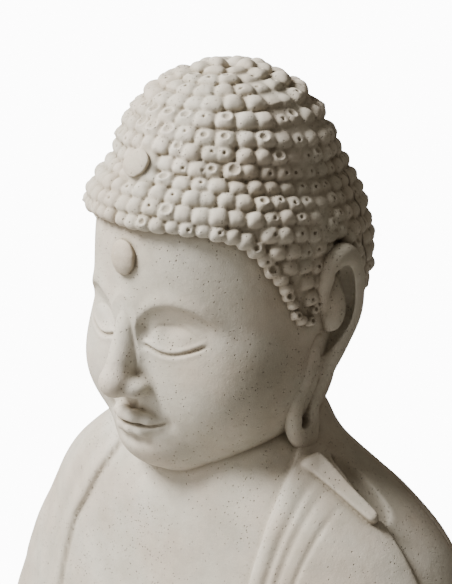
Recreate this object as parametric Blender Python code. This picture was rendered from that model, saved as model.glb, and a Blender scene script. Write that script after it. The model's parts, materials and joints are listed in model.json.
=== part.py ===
"""Seated Buddha built as sectional cast-stone pieces (metres, +Z up, facing -Y).

The castings stand on each other in mortar beds, dowels line them up, and one
threaded rod clamps the stack from the plinth to a plate inside the hollow head.
The figure's own left side is +X.
"""
import math

import bmesh
import bpy
from mathutils import Matrix, Vector

for old in list(bpy.data.objects):
    bpy.data.objects.remove(old)

# Driving dimensions
HEIGHT = 0.935
BASE_WIDTH = 0.760
BASE_DEPTH = 0.580
GAP = 0.0003                # left between pieces that touch
MORTAR = 0.003              # thickness of a mortar bed
FOOT_TOP = 0.005
PLINTH_TOP = 0.040
LOTUS_MIDDLE = 0.090
SEAT = 0.147
WAIST = 0.280
NECK_SEAT = 0.655
WALL = 0.028                # wall of the hollow castings

HEAD = Vector((0, 0, 0.778))
HEAD_BOW = math.radians(3)
HEAD_SEAM = 0.045           # y of the joint between the two head shells
TORSO_SEAM = 0.060          # y of the joint between the two torso shells
NECK_RADIUS = 0.044
NECK_Y = 0.006
CHIN_ROOM = 0.002           # air between the jaw and the robe
CROWN = HEIGHT - HEAD.z - 0.0005

ROD_RADIUS = 0.006
ROD_BORE = 0.009
WASHER_RADIUS = 0.022
NUT_RADIUS = 0.0108
PIN_RADIUS = 0.004
CUFF = 0.072                # x of the face where a hand meets its sleeve
PETALS = 32


# Materials
def material(name, colour, roughness, metallic=0.0):
    made = bpy.data.materials.new(name)
    made.use_nodes = True
    shader = made.node_tree.nodes["Principled BSDF"]
    shader.inputs["Base Color"].default_value = (*colour, 1)
    shader.inputs["Roughness"].default_value = roughness
    shader.inputs["Metallic"].default_value = metallic
    return made


STONE = ("cast_stone", (0.62, 0.58, 0.51), 0.88, 0.0)
CABOCHON = ("cabochon_stone", (0.58, 0.52, 0.44), 0.82, 0.0)
MORTAR_MIX = ("mortar", (0.50, 0.47, 0.42), 0.95, 0.0)
STEEL = ("stainless_steel", (0.60, 0.60, 0.60), 0.30, 1.0)
RUBBER = ("rubber", (0.04, 0.04, 0.04), 0.80, 0.0)


# Modelling helpers
def place(name, mesh, finish=None, parent=None):
    """Put a mesh in the scene; without a finish it is a guide that only cuts or joins."""
    made = bpy.data.objects.new(name, mesh)
    bpy.context.scene.collection.objects.link(made)
    made.parent = parent
    if finish is None:
        made.hide_render = True
        made.display_type = "WIRE"
    else:
        dress(made, finish)
    return made


def dress(made, finish):
    made.data = made.data.copy()
    made.data.materials.clear()
    made.data.materials.append(material(f"{made.name}_{finish[0]}", *finish[1:]))
    made.hide_render = False
    made.display_type = "TEXTURED"


def to_mesh(name, shape):
    """Close a bmesh into a mesh with its faces outwards."""
    bmesh.ops.recalc_face_normals(shape, faces=shape.faces)
    mesh = bpy.data.meshes.new(name)
    shape.to_mesh(mesh)
    shape.free()
    mesh.shade_smooth()
    mesh.set_sharp_from_angle(angle=math.radians(40))
    return mesh


def loft(name, rings):
    """Join rings of equal count from bottom to top and cap both ends."""
    shape = bmesh.new()
    rows = [[shape.verts.new(point) for point in ring] for ring in rings]
    count = len(rows[0])
    for low, high in zip(rows, rows[1:]):
        for i in range(count):
            j = (i + 1) % count
            shape.faces.new((low[i], low[j], high[j], high[i]))
    shape.faces.new(rows[0])
    shape.faces.new(rows[-1])
    return to_mesh(name, shape)


def oval(z, half_x, half_y, y=0.0, count=40, power=2.0, scallop=0.0):
    """One level ring; power above 2 squares it, scallop dips it between the petals."""
    ring = []
    for i in range(count):
        angle = 2 * math.pi * i / count
        c, s = math.cos(angle), math.sin(angle)
        reach = (abs(c) ** power + abs(s) ** power) ** (-1 / power)
        reach *= 1 - scallop * (1 - math.cos(PETALS * angle)) / 2
        ring.append(Vector((half_x * reach * c, y + half_y * reach * s, z)))
    return ring


def hull(name, balls):
    """Convex hull of balls given as (centre, radius)."""
    shape = bmesh.new()
    for centre, radius in balls:
        spot = Matrix.Translation(centre)
        bmesh.ops.create_icosphere(shape, subdivisions=2, radius=radius, matrix=spot)
    result = bmesh.ops.convex_hull(shape, input=shape.verts)
    spare = [item for item in result["geom_interior"] if isinstance(item, bmesh.types.BMVert)]
    bmesh.ops.delete(shape, geom=spare, context="VERTS")
    loose = [vert for vert in shape.verts if not vert.link_faces]
    bmesh.ops.delete(shape, geom=loose, context="VERTS")
    bmesh.ops.delete(shape, geom=[f for f in shape.faces if f not in result["geom"]],
                     context="FACES_ONLY")
    return to_mesh(name, shape)


def rod(name, start, end, radius, sides=12):
    """A straight cylinder between two points."""
    start, end = Vector(start), Vector(end)
    along = end - start
    turn = along.to_track_quat("Z", "Y").to_matrix().to_4x4()
    shape = bmesh.new()
    bmesh.ops.create_cone(shape, cap_ends=True, segments=sides, radius1=radius,
                          radius2=radius, depth=along.length,
                          matrix=Matrix.Translation((start + end) / 2) @ turn)
    return to_mesh(name, shape)


def block(name, low, high):
    shape = bmesh.new()
    low, high = Vector(low), Vector(high)
    size = Matrix.Diagonal((*(high - low), 1))
    bmesh.ops.create_cube(shape, size=1, matrix=Matrix.Translation((low + high) / 2) @ size)
    return to_mesh(name, shape)


def boolean(target, tool, operation):
    tool.hide_render = True
    tool.display_type = "WIRE"
    change = target.modifiers.new(operation.lower(), "BOOLEAN")
    change.operation = operation
    change.object = tool


def join(target, *tools):
    for tool in tools:
        boolean(target, tool, "UNION")


def cut(target, *tools):
    for tool in tools:
        boolean(target, tool, "DIFFERENCE")


def half_of(whole, name, cutter):
    """A finished stone piece that keeps what the cutter leaves of a guide."""
    piece = whole.copy()
    piece.name = name
    bpy.context.scene.collection.objects.link(piece)
    dress(piece, STONE)
    cut(piece, cutter)
    return piece


def pin(name, start, end, homes, radius=PIN_RADIUS):
    """A dowel in a blind hole that it crosses in each of its home pieces."""
    along = (Vector(end) - Vector(start)).normalized()
    place(name, rod(name, start, end, radius), STEEL)
    hole = place(f"{name}_hole", rod(name, Vector(start) - along * GAP,
                                     Vector(end) + along * GAP, radius + GAP))
    for home in homes:
        cut(home, hole)


# The base: feet, plinth and the two rows of lotus petals
def build_base():
    half_x, half_y = BASE_WIDTH / 2, BASE_DEPTH / 2
    edge = 0.007
    plinth = place("plinth", loft("plinth", [
        oval(FOOT_TOP, half_x - edge, half_y - edge, count=48),
        oval(FOOT_TOP + edge, half_x, half_y, count=48),
        oval(PLINTH_TOP - edge, half_x, half_y, count=48),
        oval(PLINTH_TOP, half_x - edge, half_y - edge, count=48)]), STONE)
    for i, (x, y) in enumerate([(0.22, 0.15), (-0.22, 0.15), (-0.22, -0.15), (0.22, -0.15)]):
        name = f"rubber_foot_{i + 1}"
        place(name, rod(name, (x, y, 0), (x, y, FOOT_TOP - GAP), 0.026, 20), RUBBER)

    count = PETALS * 4
    low = PLINTH_TOP + MORTAR
    lotus_lower = place("lotus_lower", loft("lotus_lower", [
        oval(low, 0.370, 0.280, count=count, scallop=0.050),
        oval(low + 0.010, 0.374, 0.284, count=count, scallop=0.050),
        oval(low + 0.030, 0.362, 0.272, count=count, scallop=0.040),
        oval(LOTUS_MIDDLE, 0.334, 0.246, count=count)]), STONE)
    low = LOTUS_MIDDLE + MORTAR
    lotus_upper = place("lotus_upper", loft("lotus_upper", [
        oval(low, 0.322, 0.235, count=count),
        oval(low + 0.017, 0.346, 0.258, count=count, scallop=0.030),
        oval(low + 0.037, 0.364, 0.274, count=count, scallop=0.050),
        oval(SEAT, 0.368, 0.278, count=count, scallop=0.055)]), STONE)
    hollow(lotus_lower, PLINTH_TOP, LOTUS_MIDDLE - 0.022, 0.285, 0.200)
    hollow(lotus_upper, LOTUS_MIDDLE, SEAT - 0.024, 0.275, 0.190)
    bed("plinth_bed", PLINTH_TOP, (0.345, 0.258), (0.295, 0.208))
    bed("lotus_bed", LOTUS_MIDDLE, (0.312, 0.226), (0.284, 0.198))
    return plinth, lotus_lower, lotus_upper


def hollow(target, low, high, half_x, half_y, y=0.0):
    """Open a casting from below."""
    cut(target, place(f"{target.name}_core", loft("core", [
        oval(low - 0.01, half_x, half_y, y, 32), oval(high, half_x * 0.96, half_y * 0.96, y, 32)])))


def bed(name, top, outer, inner, y=0.0):
    """A mortar ring on the level joint at this height."""
    low, high = top + GAP, top + MORTAR - GAP
    ring = place(name, loft(name, [oval(z, *outer, y, 40) for z in (low, high)]), MORTAR_MIX)
    cut(ring, place(f"{name}_core", loft(name, [
        oval(z, *inner, y, 40) for z in (low - 0.01, high + 0.01)])))
    return ring


# The crossed legs under the robe
def build_lap():
    low = SEAT + MORTAR
    lap = place("lap", loft("lap", [
        oval(low, 0.240, 0.135, 0.020), oval(0.220, 0.225, 0.125, 0.018),
        oval(WAIST, 0.208, 0.104, 0.014)]), STONE)
    for side in (1, -1):
        thigh = hull("thigh", [((side * 0.130, 0.050, 0.215), 0.075),
                               ((side * 0.268, -0.080, 0.205), 0.074)])
        shin = hull("shin", [((side * 0.262, -0.105, 0.196), 0.062),
                             ((side * -0.060, -0.178, 0.190), 0.054)])
        join(lap, place(f"thigh_{side}", thigh), place(f"shin_{side}", shin))
    front = hull("robe_front", [((0.100, -0.130, 0.225), 0.050),
                                ((-0.100, -0.130, 0.225), 0.050),
                                ((0, -0.080, 0.225), 0.050)])
    join(lap, place("robe_front", front))
    cut(lap, place("under_lap", block("under_lap", (-0.5, -0.5, 0), (0.5, 0.5, low))))
    cut(lap, place("over_lap", block("over_lap", (-0.5, -0.5, WAIST), (0.5, 0.5, 0.5))))
    hollow(lap, SEAT, WAIST - 0.035, 0.205, 0.100, 0.010)
    bed("seat_bed", SEAT, (0.232, 0.128), (0.212, 0.108), 0.018)
    bed("waist_bed", WAIST, (0.188, 0.090), (0.168, 0.070), 0.016)
    return lap


# The chest, shoulders and sleeves, in two shells
TORSO = [  # z, half width, half depth, y of the centre
    (WAIST + MORTAR, 0.200, 0.104, 0.018), (0.340, 0.214, 0.106, 0.019),
    (0.400, 0.219, 0.108, 0.020), (0.482, 0.212, 0.106, 0.021),
    (0.544, 0.200, 0.101, 0.022), (0.573, 0.190, 0.097, 0.022),
    (0.607, 0.174, 0.091, 0.021), (0.630, 0.158, 0.086, 0.018),
    (0.650, 0.138, 0.079, 0.013), (0.665, 0.119, 0.071, 0.009),
    (0.685, 0.092, 0.060, 0.005), (0.710, 0.064, 0.051, 0.006),
]


def build_torso():
    whole = place("torso_whole", loft("torso", [oval(z, a, b, y, 36, 2.2) for z, a, b, y in TORSO]))
    for side in (1, -1):
        upper = hull("upper_arm", [((side * 0.168, 0.012, 0.535), 0.050),
                                   ((side * 0.196, -0.006, 0.390), 0.053)])
        sleeve = hull("sleeve", [((side * 0.194, -0.006, 0.385), 0.054),
                                 ((side * 0.200, -0.006, 0.320), 0.052),
                                 ((side * 0.080, -0.135, 0.318), 0.038),
                                 ((side * 0.090, -0.130, 0.290), 0.036)])
        join(whole, place(f"upper_arm_{side}", upper), place(f"sleeve_{side}", sleeve))
    below = block("below_waist", (-0.5, -0.5, 0), (0.5, 0.5, WAIST + MORTAR))
    cuffs = block("cuffs", (-CUFF, -0.30, 0.2), (CUFF, -0.088, 0.42))
    core = loft("torso_core", [oval(z, a - WALL, b - WALL, y, 24) for z, a, b, y in [
        (WAIST - 0.01, 0.205, 0.100, 0.018), (0.400, 0.220, 0.102, 0.014),
        (0.520, 0.195, 0.096, 0.016), (0.590, 0.140, 0.085, 0.016)]])
    socket = rod("neck_socket", (0, NECK_Y, NECK_SEAT), (0, NECK_Y, 0.8), NECK_RADIUS + GAP, 32)
    bore = rod("neck_bore", (0, NECK_Y, 0.5), (0, NECK_Y, 0.7), ROD_BORE)
    for mesh in (below, cuffs, core, socket, bore):
        cut(whole, place(mesh.name, mesh))
    return whole


def split_torso(whole):
    half_gap = GAP / 2
    behind = block("behind_torso", (-0.5, TORSO_SEAM - half_gap, 0), (0.5, 0.5, 1))
    before = block("before_torso", (-0.5, -0.5, 0), (0.5, TORSO_SEAM + half_gap, 1))
    torso_front = half_of(whole, "torso_front", place("behind_torso", behind))
    torso_back = half_of(whole, "torso_back", place("before_torso", before))
    neck_bed = place("neck_bed", rod("neck_bed", (0, NECK_Y, NECK_SEAT + GAP),
                                     (0, NECK_Y, NECK_SEAT + MORTAR - GAP), 0.040, 32),
                     MORTAR_MIX)
    cut(neck_bed, place("neck_bed_core", rod("core", (0, NECK_Y, 0.6), (0, NECK_Y, 0.7), 0.020)))
    return torso_front, torso_back


# The folded end of the robe that lies over the left shoulder
def build_drape(torso_front):
    corners = [(0.098, -0.006, 0.679), (0.110, 0.000, 0.672), (0.136, 0.002, 0.653),
               (0.164, 0.000, 0.625), (0.176, -0.010, 0.594), (0.160, -0.044, 0.588),
               (0.124, -0.062, 0.596), (0.092, -0.062, 0.616), (0.092, -0.046, 0.654)]
    drape = place("shoulder_drape", hull("shoulder_drape", [(c, 0.008) for c in corners]), STONE)
    seat = hull("drape_seat", [(corner, 0.008 + GAP) for corner in corners])
    cut(torso_front, place("drape_seat", seat))
    return drape


# The hands, laid in the lap with the thumbs touching
def build_hands():
    hands = {}
    for name, side, z, front in (("left_hand", 1, 0.2933, 0.0), ("right_hand", -1, 0.3126, 0.002)):
        palm = [((side * x, y + front, z), 0.0093) for x, y in
                ((0.080, -0.120), (0.080, -0.158), (0.005, -0.116), (0.005, -0.164),
                 (-0.046, -0.128), (-0.046, -0.152))]
        hand = place(name, hull(name, palm), STONE)
        thumb = hull(f"{name}_thumb", [((side * 0.056, -0.171, z + 0.001), 0.0085),
                                       ((side * 0.0075, -0.178, 0.344), 0.0068)])
        join(hand, place(f"{name}_thumb", thumb))
        face = side * (CUFF - GAP)
        beyond = sorted((face, side * 0.2))
        cut(hand, place(f"{name}_end", block("end", (beyond[0], -0.3, 0.2), (beyond[1], 0, 0.4))))
        hands[name] = hand
    return hands["left_hand"], hands["right_hand"]


# The head: two shells, ears, and two set stones
FACE = [  # z, half width, front y, back y, in the head's own frame
    (-0.097, 0.018, -0.075, -0.040), (-0.089, 0.042, -0.086, -0.004),
    (-0.074, 0.060, -0.089, 0.030), (-0.048, 0.074, -0.089, 0.052),
    (-0.018, 0.081, -0.087, 0.066), (0.012, 0.083, -0.088, 0.074),
    (0.045, 0.083, -0.089, 0.076), (0.072, 0.080, -0.086, 0.074),
]
HAIR = [
    (-0.058, 0.062, -0.040, 0.068), (-0.020, 0.082, -0.068, 0.084),
    (0.020, 0.092, -0.090, 0.094), (0.055, 0.094, -0.097, 0.100),
    (0.074, 0.093, -0.097, 0.094), (0.084, 0.085, -0.090, 0.082),
    (0.092, 0.079, -0.080, 0.078), (0.106, 0.075, -0.075, 0.075),
    (0.124, 0.065, -0.064, 0.066), (0.142, 0.048, -0.046, 0.050),
    (CROWN, 0.020, -0.017, 0.022),
]
EAR = [  # y, z of the outline, in the head's own frame
    (0.004, 0.034), (0.016, 0.046), (0.032, 0.044), (0.042, 0.026), (0.040, -0.004),
    (0.027, -0.028), (0.010, -0.055), (0.002, -0.078), (-0.006, -0.086), (-0.014, -0.078),
    (-0.016, -0.056), (-0.005, -0.028), (0.000, -0.002),
]
EAR_LEAN = 0.12             # how far the ear leans in, per metre of drop
FACE_OPENING = [  # y, z of the hairline seen from the side
    (-0.200, 0.066), (-0.050, 0.064), (-0.030, 0.052), (-0.016, 0.022), (-0.010, -0.014),
    (0.004, -0.012), (0.012, -0.200), (-0.200, -0.200),
]


def head_rings(rows, count, grow=0.0):
    return [oval(z - grow, half + grow, (back - front) / 2 + grow, (back + front) / 2, count)
            for z, half, front, back in rows]


def side_plate(name, outline, inner, outer, lean=0.0):
    """An outline seen from the side, as a plate between two distances from the middle."""
    shape = bmesh.new()
    face = shape.faces.new([shape.verts.new((inner + lean * z, y, z)) for y, z in outline])
    raised = bmesh.ops.extrude_face_region(shape, geom=[face])
    top = [item for item in raised["geom"] if isinstance(item, bmesh.types.BMVert)]
    bmesh.ops.translate(shape, verts=top, vec=(outer - inner, 0, 0))
    return to_mesh(name, shape)


def grown(outline, amount):
    """A clockwise outline moved outwards by an amount on every side."""
    points = [Vector(point) for point in outline]
    moved = []
    for i, point in enumerate(points):
        before = (point - points[i - 1]).normalized()
        after = (points[(i + 1) % len(points)] - point).normalized()
        out = Vector((-before.y - after.y, before.x + after.x)).normalized()
        moved.append(point + out * amount / max(out.dot(Vector((-before.y, before.x))), 0.5))
    return moved


def ear_plate(name, side, inner, outer, grow=0.0):
    return side_plate(name, grown(EAR, grow), side * inner, side * outer, side * EAR_LEAN)


def cabochon(name, centre, out, half_x, half_z, proud, grow=0.0, sunk=0.003):
    """An oval stone with a domed face, its seat sunk into the head."""
    turn = Vector(out).to_track_quat("Z", "Y").to_matrix().to_4x4()
    spot = Matrix.Translation(centre) @ turn
    levels = [(-sunk - grow, 1.0), (0.25 * proud, 1.0), (0.60 * proud, 0.84),
              (0.88 * proud, 0.54), (proud, 0.16)]
    rings = [oval(z, (half_x + grow) * k, (half_z + grow) * k, 0, 20) for z, k in levels]
    return loft(name, [[spot @ point for point in ring] for ring in rings])


def build_head(torso_whole):
    head = bpy.data.objects.new("head_frame", None)
    bpy.context.scene.collection.objects.link(head)
    head.location = HEAD
    head.rotation_euler = (HEAD_BOW, 0, 0)

    whole = place("head_whole", loft("face", head_rings(FACE, 36)), parent=head)
    hair = place("hair", loft("hair", head_rings(HAIR, 36)), parent=head)
    opening = side_plate("face_opening", FACE_OPENING, -0.2, 0.2)
    cut(hair, place("face_opening", opening, parent=head))
    nose = hull("nose", [((0, -0.084, 0.006), 0.006), ((0, -0.099, -0.038), 0.007),
                         ((0.011, -0.087, -0.041), 0.006), ((-0.011, -0.087, -0.041), 0.006)])
    lips = hull("lips", [((0.016, -0.083, -0.064), 0.005), ((-0.016, -0.083, -0.064), 0.005),
                         ((0, -0.088, -0.060), 0.006), ((0, -0.087, -0.070), 0.006)])
    join(whole, hair, place("nose", nose, parent=head), place("lips", lips, parent=head))
    for rows in (FACE, HAIR):
        room = place("chin_room", loft("chin_room", head_rings(rows[:6], 36, CHIN_ROOM)), parent=head)
        cut(torso_whole, room)
    neck = rod("neck", (0, NECK_Y, NECK_SEAT + MORTAR), (0, NECK_Y, HEAD.z), NECK_RADIUS, 32)
    join(whole, place("neck", neck))
    core = loft("head_core", [oval(z, a, b, NECK_Y, 24) for z, a, b in
                              ((0.722, 0.034, 0.034), (0.740, 0.050, 0.046), (0.790, 0.062, 0.056),
                               (0.850, 0.058, 0.052), (0.885, 0.034, 0.030))])
    bore = rod("head_bore", (0, NECK_Y, 0.6), (0, NECK_Y, 0.75), ROD_BORE)
    cut(whole, place("head_core", core), place("head_bore", bore))

    ears = []
    for name, side in (("left_ear", 1), ("right_ear", -1)):
        seat = place(f"{name}_seat", ear_plate(name, side, 0.0785, 0.15, GAP * 2), parent=head)
        cut(whole, seat)
        room = place(f"{name}_room", ear_plate(name, side, 0.07, 0.12, CHIN_ROOM), parent=head)
        cut(torso_whole, room)
        plate = ear_plate(name, side, 0.0785 + GAP, 0.097)
        ear = place(name, plate, STONE, head)
        slot = hull("slot", [((side * x, y, z), 0.0030) for x in (0.060, 0.110)
                             for y, z in ((-0.002, -0.048), (-0.006, -0.066))])
        bowl = hull("bowl", [((side * 0.100, 0.018, 0.018), 0.008),
                             ((side * 0.100, 0.018, -0.012), 0.007)])
        cut(ear, place(f"{name}_slot", slot, parent=head), place(f"{name}_bowl", bowl, parent=head))
        ears.append(ear)

    stones = (("urna", (0, -0.0865, 0.034), (0, -1, 0.02), 0.010, 0.012, 0.0075),
              ("ushnisha_jewel", (0, -0.0765, 0.107), (0, -0.92, 0.36), 0.011, 0.010, 0.006))
    for name, centre, out, half_x, half_z, proud in stones:
        shape = (centre, out, half_x, half_z, proud)
        stone = place(name, cabochon(name, *shape), CABOCHON, head)
        seat = place(f"{name}_seat", cabochon(name, *shape, grow=GAP), parent=head)
        cut(whole, seat)

    half_gap = GAP / 2
    behind = block("behind_head", (-0.2, HEAD_SEAM - half_gap, 0.5), (0.2, 0.3, 1.1))
    before = block("before_head", (-0.2, -0.3, 0.5), (0.2, HEAD_SEAM + half_gap, 1.1))
    head_front = half_of(whole, "head_front", place("behind_head", behind))
    head_back = half_of(whole, "head_back", place("before_head", before))
    return head_front, head_back, ears


# The tie rod with its washers, nuts and plate
def build_rod(plinth, lotus_lower, lotus_upper, lap):
    plate_low, plate_high = 0.722 + GAP, 0.727
    top = plate_high + 0.022
    place("tie_rod", rod("tie_rod", (0, NECK_Y, 0.010), (0, NECK_Y, top), ROD_RADIUS, 20), STEEL)
    ring("head_plate", plate_low, plate_high, 0.031, 32)
    ring("head_washer", plate_high + GAP, plate_high + 0.0025, 0.014, 24)
    ring("head_nut", plate_high + 0.0025 + GAP, plate_high + 0.0135, NUT_RADIUS, 6)
    roof = 0.027
    ring("base_washer", roof - 0.003, roof - GAP, WASHER_RADIUS, 24)
    ring("base_nut", roof - 0.014, roof - 0.003 - GAP, NUT_RADIUS, 6)
    recess = place("nut_recess", rod("recess", (0, NECK_Y, -0.1), (0, NECK_Y, roof), 0.028, 24))
    bore = place("rod_bore", rod("bore", (0, NECK_Y, -0.1), (0, NECK_Y, WAIST + 0.02), ROD_BORE))
    cut(plinth, recess)
    for piece in (plinth, lotus_lower, lotus_upper, lap):
        cut(piece, bore)


def ring(name, low, high, radius, sides):
    """A steel washer, plate or nut on the tie rod."""
    made = place(name, rod(name, (0, NECK_Y, low), (0, NECK_Y, high), radius, sides), STEEL)
    cut(made, place(f"{name}_hole", rod("hole", (0, NECK_Y, low - 0.01), (0, NECK_Y, high + 0.01),
                                        ROD_RADIUS + GAP, 20)))


def build():
    plinth, lotus_lower, lotus_upper = build_base()
    lap = build_lap()
    torso_whole = build_torso()
    head_front, head_back, (left_ear, right_ear) = build_head(torso_whole)
    torso_front, torso_back = split_torso(torso_whole)
    drape = build_drape(torso_front)
    left_hand, right_hand = build_hands()
    build_rod(plinth, lotus_lower, lotus_upper, lap)

    for name, side in (("left", 1), ("right", -1)):
        x = side * 0.200
        pin(f"seat_dowel_{name}", (x, 0.04, SEAT - 0.018), (x, 0.04, SEAT + 0.025),
            (lotus_upper, lap))
        x = side * 0.188
        pin(f"waist_dowel_{name}", (x, -0.01, WAIST - 0.020), (x, -0.01, WAIST + 0.028),
            (lap, torso_front))
    pin("left_hand_dowel", (CUFF - 0.018, -0.139, 0.2933), (CUFF + 0.018, -0.139, 0.2933),
        (left_hand, torso_front), 0.003)
    pin("right_hand_dowel", (0.018 - CUFF, -0.137, 0.3126), (-CUFF - 0.018, -0.137, 0.3126),
        (right_hand, torso_front), 0.003)
    for name, side, ear in (("left", 1, left_ear), ("right", -1, right_ear)):
        pin(f"{name}_ear_dowel", (side * 0.066, 0.020, HEAD.z + 0.018),
            (side * 0.0835, 0.020, HEAD.z + 0.018), (ear, head_front), 0.003)
    pin("drape_dowel_upper", (0.098, -0.010, 0.648), (0.105, -0.014, 0.668),
        (drape, torso_front), 0.003)
    pin("drape_dowel_lower", (0.124, -0.026, 0.596), (0.136, -0.036, 0.610),
        (drape, torso_front), 0.003)
    for i, (x, z) in enumerate([(0.066, 0.815), (-0.066, 0.815), (0.040, 0.888), (-0.040, 0.888)]):
        pin(f"head_dowel_{i + 1}", (x, HEAD_SEAM - 0.012, z), (x, HEAD_SEAM + 0.012, z),
            (head_front, head_back), 0.003)
    for i, (x, z) in enumerate([(0.185, 0.43), (-0.185, 0.43), (0.115, 0.60), (-0.115, 0.60)]):
        pin(f"torso_dowel_{i + 1}", (x, TORSO_SEAM - 0.014, z), (x, TORSO_SEAM + 0.014, z),
            (torso_front, torso_back), 0.003)


build()
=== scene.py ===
"""Looks of the seated cast-stone Buddha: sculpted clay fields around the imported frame."""
import copy
import math

import bpy
import json
import numpy as np
from mathutils import Matrix, Vector


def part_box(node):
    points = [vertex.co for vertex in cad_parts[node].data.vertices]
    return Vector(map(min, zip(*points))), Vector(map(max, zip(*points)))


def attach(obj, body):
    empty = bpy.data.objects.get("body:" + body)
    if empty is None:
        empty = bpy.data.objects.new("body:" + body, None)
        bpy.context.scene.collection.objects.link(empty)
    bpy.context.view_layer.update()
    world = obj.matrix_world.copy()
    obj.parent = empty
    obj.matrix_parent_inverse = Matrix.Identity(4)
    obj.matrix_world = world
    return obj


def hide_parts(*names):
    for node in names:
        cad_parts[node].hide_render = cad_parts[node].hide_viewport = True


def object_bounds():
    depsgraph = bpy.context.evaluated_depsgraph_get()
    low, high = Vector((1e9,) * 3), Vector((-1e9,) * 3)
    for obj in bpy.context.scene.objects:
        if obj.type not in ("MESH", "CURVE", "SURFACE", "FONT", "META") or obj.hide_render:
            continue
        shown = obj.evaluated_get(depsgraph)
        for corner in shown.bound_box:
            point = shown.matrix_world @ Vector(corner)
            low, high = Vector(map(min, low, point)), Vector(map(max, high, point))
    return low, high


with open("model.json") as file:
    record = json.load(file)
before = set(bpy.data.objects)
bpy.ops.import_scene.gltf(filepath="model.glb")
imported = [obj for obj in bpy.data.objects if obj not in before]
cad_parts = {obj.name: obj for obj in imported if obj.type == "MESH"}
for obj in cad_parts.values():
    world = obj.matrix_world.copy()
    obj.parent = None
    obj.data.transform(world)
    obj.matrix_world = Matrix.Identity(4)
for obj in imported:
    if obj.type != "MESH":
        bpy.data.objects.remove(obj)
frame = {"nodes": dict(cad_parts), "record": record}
cad_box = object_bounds()

COARSE = 1.0
RNG = np.random.default_rng(11)
MM = 0.001
LEFT, RIGHT = 1, -1
EVENING_ROUNDS = 2          # how often a mesh's points are spread along its surface
JOINT = 0.0004              # the gap between two shells of stone


def mm(*values):
    """Millimetres in metres: mm(x, y, z), or mm(rows) for a table."""
    return np.array(values[0] if len(values) == 1 else values) / 1000


# ---- clay: fields on a grid
def smooth_min(a, b, k):
    """The smaller of two distances, with a fillet k wide where they meet."""
    if k <= 0:
        return np.minimum(a, b)
    h = np.maximum(k - np.abs(a - b), 0) / k
    return np.minimum(a, b) - h * h * (k / 4)


def smooth_max(a, b, k):
    return -smooth_min(-a, -b, k)


def bell(t):
    return np.exp(-t * t)


def ramp(start, end, t):
    """0 before start, 1 after end, easing between."""
    s = np.clip((t - start) / (end - start), 0, 1)
    return s * s * (3 - 2 * s)


def curve(points):
    """A smooth function through (input, output) points, level beyond its ends."""
    p = np.array(points, float)
    slope = np.gradient(p[:, 1], p[:, 0])

    def value(t):
        t = np.asarray(t)
        i = np.clip(np.searchsorted(p[:, 0], t) - 1, 0, len(p) - 2)
        span = p[i + 1, 0] - p[i, 0]
        s = np.clip((t - p[i, 0]) / span, 0, 1)
        a, b = s * s * (3 - 2 * s), s * (s - 1) ** 2
        c = s * s * (s - 1)
        out = (1 - a) * p[i, 1] + a * p[i + 1, 1] + (b * slope[i] + c * slope[i + 1]) * span
        return out.astype(t.dtype if t.dtype.kind == "f" else float)
    return value


class Shape:
    """A distance function with the box it can matter in."""

    def __init__(self, low, high, distance):
        self.low, self.high, self.distance = np.array(low), np.array(high), distance


def egg(centre, radii, turn=None):
    c, r = np.array(centre, float), np.array(radii, float)
    reach = r if turn is None else np.full(3, r.max())
    rows = None if turn is None else np.array(turn).T

    def distance(x, y, z):
        p = [x - c[0], y - c[1], z - c[2]]
        if rows is not None:
            p = [row[0] * p[0] + row[1] * p[1] + row[2] * p[2] for row in rows]
        a = np.sqrt(sum((q / s) ** 2 for q, s in zip(p, r)))
        b = np.sqrt(sum((q / (s * s)) ** 2 for q, s in zip(p, r)))
        return a * (a - 1) / np.maximum(b, 1e-6)
    return Shape(c - reach, c + reach, distance)


def limb(a, b, ra, rb):
    """A round bar between two points whose radius goes from ra to rb."""
    a, b = np.array(a, float), np.array(b, float)
    ab = b - a

    def distance(x, y, z):
        px, py, pz = x - a[0], y - a[1], z - a[2]
        t = np.clip((px * ab[0] + py * ab[1] + pz * ab[2]) / (ab @ ab), 0, 1)
        off = np.sqrt((px - t * ab[0]) ** 2 + (py - t * ab[1]) ** 2 + (pz - t * ab[2]) ** 2)
        return off - (ra + (rb - ra) * t)
    r = max(ra, rb)
    return Shape(np.minimum(a, b) - r, np.maximum(a, b) + r, distance)


def strand(rows):
    """Limbs through rows of (x, y, z, radius)."""
    return [limb(p[:3], q[:3], p[3], q[3]) for p, q in zip(rows, rows[1:])]


def smooth_strand(rows, steps=4):
    """Limbs along a smooth line through rows of (x, y, z, radius)."""
    p = np.concatenate([[2 * rows[0] - rows[1]], rows, [2 * rows[-1] - rows[-2]]])
    line = []
    for a, b, c, d in zip(p, p[1:], p[2:], p[3:]):
        for t in np.arange(steps) / steps:
            bend = 2 * a - 5 * b + 4 * c - d + t * (3 * (b - c) + d - a)
            line.append(b + 0.5 * t * (c - a + t * bend))
    return strand(line + [p[-2]])


def bead(centre, radii, turn, power=3.0, section=2.4):
    """A pillow: a rounded square seen from above, round in its section."""
    c, rows, r = np.array(centre, float), np.array(turn).T, np.array(radii, float)

    def distance(x, y, z):
        p = [x - c[0], y - c[1], z - c[2]]
        u, v, w = (np.abs(row[0] * p[0] + row[1] * p[1] + row[2] * p[2]) / s
                   for row, s in zip(rows, r))
        flat = (u ** power + v ** power + 1e-9) ** (1 / power)
        return ((flat ** section + w ** section) ** (1 / section) - 1) * r.min()
    reach = r.max() * 1.25
    return Shape(c - reach, c + reach, distance)


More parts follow.
